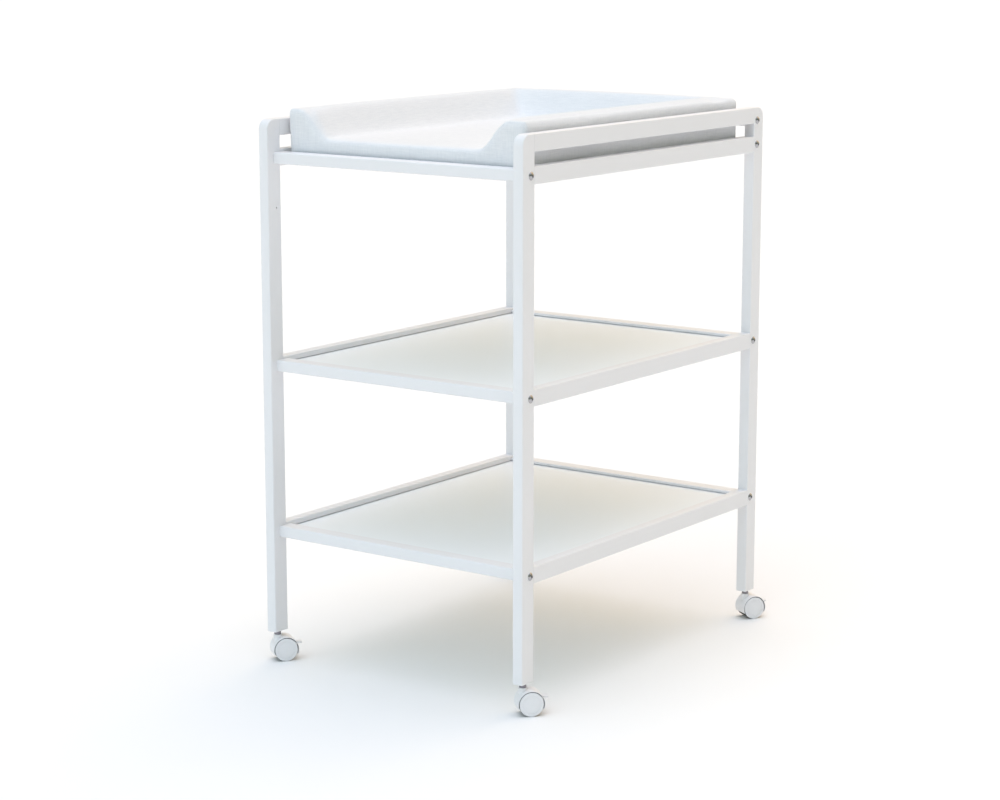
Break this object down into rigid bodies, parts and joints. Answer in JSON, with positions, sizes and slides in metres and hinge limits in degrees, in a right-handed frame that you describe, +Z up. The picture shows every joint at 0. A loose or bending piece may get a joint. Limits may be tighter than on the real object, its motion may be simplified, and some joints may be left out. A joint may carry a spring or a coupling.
{
  "type": "changing table",
  "caption": "Rolling white wooden changing table: ladder side frames, recessed shelves, a deck with a padded mat with raised bolsters, and braked twin-wheel castors.",
  "frame": {"origin": "on the floor, under the middle of the whole table's floor box, castors included; the wooden frame's own middle is 7 mm to the left and 10 mm to the front of it", "axes": "+X to the right of someone who stands at the open front end, -Y towards that person, +Z up"},
  "size_m": [0.5963, 0.7899, 0.9878],
  "materials": {
    "painted_wood": "satin white paint over beech",
    "painted_panel": "smooth white lacquer on fibreboard",
    "raw_beech": "unfinished dowel",
    "bright_steel": "bright zinc plate",
    "dark_steel": "turned steel",
    "castor_plastic": "moulded white nylon",
    "mat_cover": "fine woven white cotton cover"
  },
  "bodies": {
    "table_frame": {"leg_front_left": "painted_wood", "leg_rear_left": "painted_wood", "bottom_rail_left": "painted_wood", "middle_rail_left": "painted_wood", "top_rail_left": "painted_wood", "guard_rail_left": "painted_wood", "leg_front_right": "painted_wood", "leg_rear_right": "painted_wood", "bottom_rail_right": "painted_wood", "middle_rail_right": "painted_wood", "top_rail_right": "painted_wood", "guard_rail_right": "painted_wood", "bottom_lath_front": "painted_wood", "middle_lath_front": "painted_wood", "top_lath_front": "painted_wood", "bottom_lath_rear": "painted_wood", "middle_lath_rear": "painted_wood", "top_lath_rear": "painted_wood", "guard_lath_rear": "painted_wood", "deck_panel": "painted_panel", "middle_shelf_panel": "painted_panel", "bottom_shelf_panel": "painted_panel", "frame_bolts": "bright_steel", "barrel_nuts": "bright_steel", "lath_dowels": "raw_beech", "rail_dowels": "raw_beech", "castor_sockets": "castor_plastic", "castor_stem_front_left": "dark_steel", "castor_stem_front_right": "dark_steel", "castor_stem_rear_left": "dark_steel", "castor_stem_rear_right": "dark_steel"},
    "mat": {"changing_mat": "mat_cover"},
    "castor_front_left": {"castor_housing_front_left": "castor_plastic", "castor_axle_front_left": "dark_steel", "brake_pin_front_left": "dark_steel"},
    "wheel_left_front_left": {"castor_wheel_left_front_left": "castor_plastic"},
    "wheel_right_front_left": {"castor_wheel_right_front_left": "castor_plastic"},
    "brake_front_left": {"brake_lever_front_left": "castor_plastic"},
    "castor_front_right": {"castor_housing_front_right": "castor_plastic", "castor_axle_front_right": "dark_steel", "brake_pin_front_right": "dark_steel"},
    "wheel_left_front_right": {"castor_wheel_left_front_right": "castor_plastic"},
    "wheel_right_front_right": {"castor_wheel_right_front_right": "castor_plastic"},
    "brake_front_right": {"brake_lever_front_right": "castor_plastic"},
    "castor_rear_left": {"castor_housing_rear_left": "castor_plastic", "castor_axle_rear_left": "dark_steel", "brake_pin_rear_left": "dark_steel"},
    "wheel_left_rear_left": {"castor_wheel_left_rear_left": "castor_plastic"},
    "wheel_right_rear_left": {"castor_wheel_right_rear_left": "castor_plastic"},
    "brake_rear_left": {"brake_lever_rear_left": "castor_plastic"},
    "castor_rear_right": {"castor_housing_rear_right": "castor_plastic", "castor_axle_rear_right": "dark_steel", "brake_pin_rear_right": "dark_steel"},
    "wheel_left_rear_right": {"castor_wheel_left_rear_right": "castor_plastic"},
    "wheel_right_rear_right": {"castor_wheel_right_rear_right": "castor_plastic"},
    "brake_rear_right": {"brake_lever_rear_right": "castor_plastic"}
  },
  "joints": [
    {"name": "mat_lift", "type": "slide", "parent": "table_frame", "child": "mat", "axis": [0, 0, 1], "range_m": [0, 0.25]},
    {"name": "swivel_front_left", "type": "hinge", "parent": "table_frame", "child": "castor_front_left", "pos_m": [-0.277, -0.3755, 0.0473], "axis": [0, 0, 1], "continuous": true},
    {"name": "roll_left_front_left", "type": "hinge", "parent": "castor_front_left", "child": "wheel_left_front_left", "pos_m": [-0.26995, -0.36579, 0.0208], "axis": [-0.809, 0.5878, 0], "continuous": true},
    {"name": "roll_right_front_left", "type": "hinge", "parent": "castor_front_left", "child": "wheel_right_front_left", "pos_m": [-0.26995, -0.36579, 0.0208], "axis": [-0.809, 0.5878, 0], "continuous": true},
    {"name": "brake_press_front_left", "type": "hinge", "parent": "castor_front_left", "child": "brake_front_left", "pos_m": [-0.26113, -0.35366, 0.03], "axis": [-0.809, 0.5878, 0], "range_deg": [0, 12]},
    {"name": "swivel_front_right", "type": "hinge", "parent": "table_frame", "child": "castor_front_right", "pos_m": [0.263, -0.3755, 0.0473], "axis": [0, 0, 1], "continuous": true},
    {"name": "roll_left_front_right", "type": "hinge", "parent": "castor_front_right", "child": "wheel_left_front_right", "pos_m": [0.27103, -0.36658, 0.0208], "axis": [-0.7431, 0.6691, 0], "continuous": true},
    {"name": "roll_right_front_right", "type": "hinge", "parent": "castor_front_right", "child": "wheel_right_front_right", "pos_m": [0.27103, -0.36658, 0.0208], "axis": [-0.7431, 0.6691, 0], "continuous": true},
    {"name": "brake_press_front_right", "type": "hinge", "parent": "castor_front_right", "child": "brake_front_right", "pos_m": [0.28107, -0.35544, 0.03], "axis": [-0.7431, 0.6691, 0], "range_deg": [0, 12]},
    {"name": "swivel_rear_left", "type": "hinge", "parent": "table_frame", "child": "castor_rear_left", "pos_m": [-0.277, 0.3555, 0.0473], "axis": [0, 0, 1], "continuous": true},
    {"name": "roll_left_rear_left", "type": "hinge", "parent": "castor_rear_left", "child": "wheel_left_rear_left", "pos_m": [-0.26995, 0.36521, 0.0208], "axis": [-0.809, 0.5878, 0], "continuous": true},
    {"name": "roll_right_rear_left", "type": "hinge", "parent": "castor_rear_left", "child": "wheel_right_rear_left", "pos_m": [-0.26995, 0.36521, 0.0208], "axis": [-0.809, 0.5878, 0], "continuous": true},
    {"name": "brake_press_rear_left", "type": "hinge", "parent": "castor_rear_left", "child": "brake_rear_left", "pos_m": [-0.26113, 0.37734, 0.03], "axis": [-0.809, 0.5878, 0], "range_deg": [0, 12]},
    {"name": "swivel_rear_right", "type": "hinge", "parent": "table_frame", "child": "castor_rear_right", "pos_m": [0.263, 0.3555, 0.0473], "axis": [0, 0, 1], "continuous": true},
    {"name": "roll_left_rear_right", "type": "hinge", "parent": "castor_rear_right", "child": "wheel_left_rear_right", "pos_m": [0.26918, 0.36579, 0.0208], "axis": [-0.8572, 0.515, 0], "continuous": true},
    {"name": "roll_right_rear_right", "type": "hinge", "parent": "castor_rear_right", "child": "wheel_right_rear_right", "pos_m": [0.26918, 0.36579, 0.0208], "axis": [-0.8572, 0.515, 0], "continuous": true},
    {"name": "brake_press_rear_right", "type": "hinge", "parent": "castor_rear_right", "child": "brake_rear_right", "pos_m": [0.27691, 0.37864, 0.03], "axis": [-0.8572, 0.515, 0], "range_deg": [0, 12]}
  ]
}
